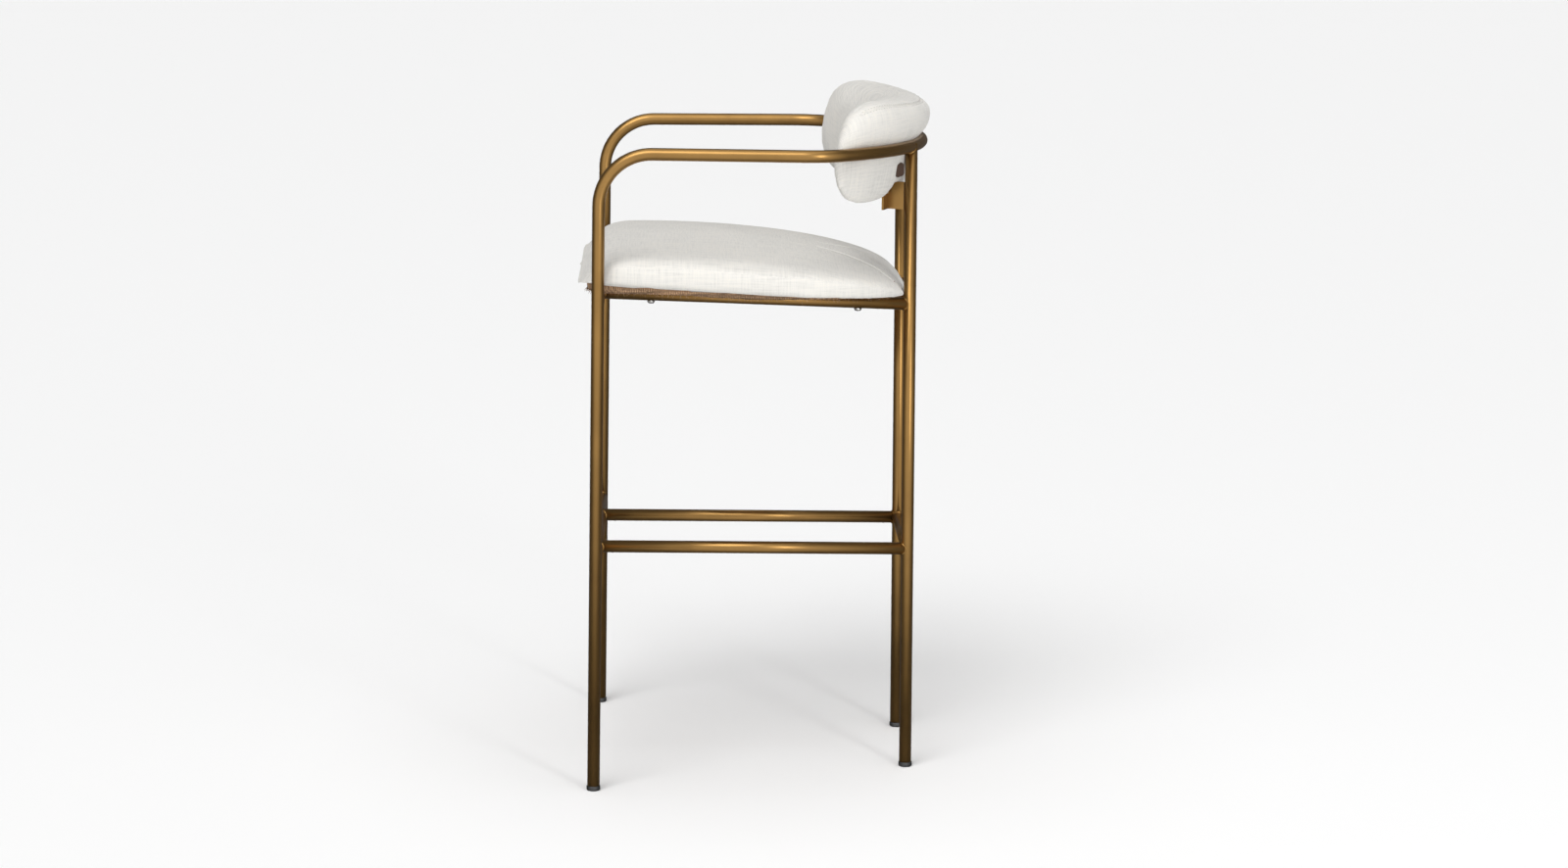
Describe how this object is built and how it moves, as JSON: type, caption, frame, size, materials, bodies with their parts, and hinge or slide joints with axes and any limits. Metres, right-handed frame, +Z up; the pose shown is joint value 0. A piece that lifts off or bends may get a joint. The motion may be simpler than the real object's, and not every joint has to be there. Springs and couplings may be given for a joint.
{
  "type": "bar stool with footrest",
  "caption": "Bar-height stool with a bent round-tube frame, arms, padded seat, curved padded backrest and an H-shaped footrest.",
  "frame": {"origin": "on the floor, at the middle of the stool's footprint box", "axes": "+Z up, -Y to the front that the sitter faces, +X to the sitter's left"},
  "size_m": [0.5718, 0.5122, 0.997],
  "materials": {
    "frame_paint": "satin antique brass",
    "black_plastic": "matte",
    "screw_steel": "zinc plated",
    "plywood": "raw",
    "linen": "slub linen weave",
    "burlap": "coarse weave"
  },
  "bodies": {
    "root": {"arm_loop_tube": "frame_paint", "rear_leg_left": "frame_paint", "rear_leg_right": "frame_paint", "footrest_front_tube": "frame_paint", "footrest_side_tube_left": "frame_paint", "footrest_side_tube_right": "frame_paint", "footrest_rear_tube": "frame_paint", "seat_frame_front_tube": "frame_paint", "seat_frame_side_tube_left": "frame_paint", "seat_frame_side_tube_right": "frame_paint", "seat_frame_rear_tube": "frame_paint", "backrest_bracket_left": "frame_paint", "backrest_bracket_right": "frame_paint", "foot_cap_front_left": "black_plastic", "foot_cap_front_right": "black_plastic", "foot_cap_rear_left": "black_plastic", "foot_cap_rear_right": "black_plastic", "seat_spacer_front_left": "black_plastic", "seat_spacer_front_right": "black_plastic", "seat_spacer_rear_left": "black_plastic", "seat_spacer_rear_right": "black_plastic", "seat_screw_front_left": "screw_steel", "seat_screw_front_right": "screw_steel", "seat_screw_rear_left": "screw_steel", "seat_screw_rear_right": "screw_steel", "backrest_screw_left": "screw_steel", "backrest_screw_right": "screw_steel", "seat_board": "plywood", "backrest_shell": "plywood", "seat_cushion": "linen", "backrest_pad": "linen", "seat_dust_cover": "burlap"}
  },
  "joints": []
}
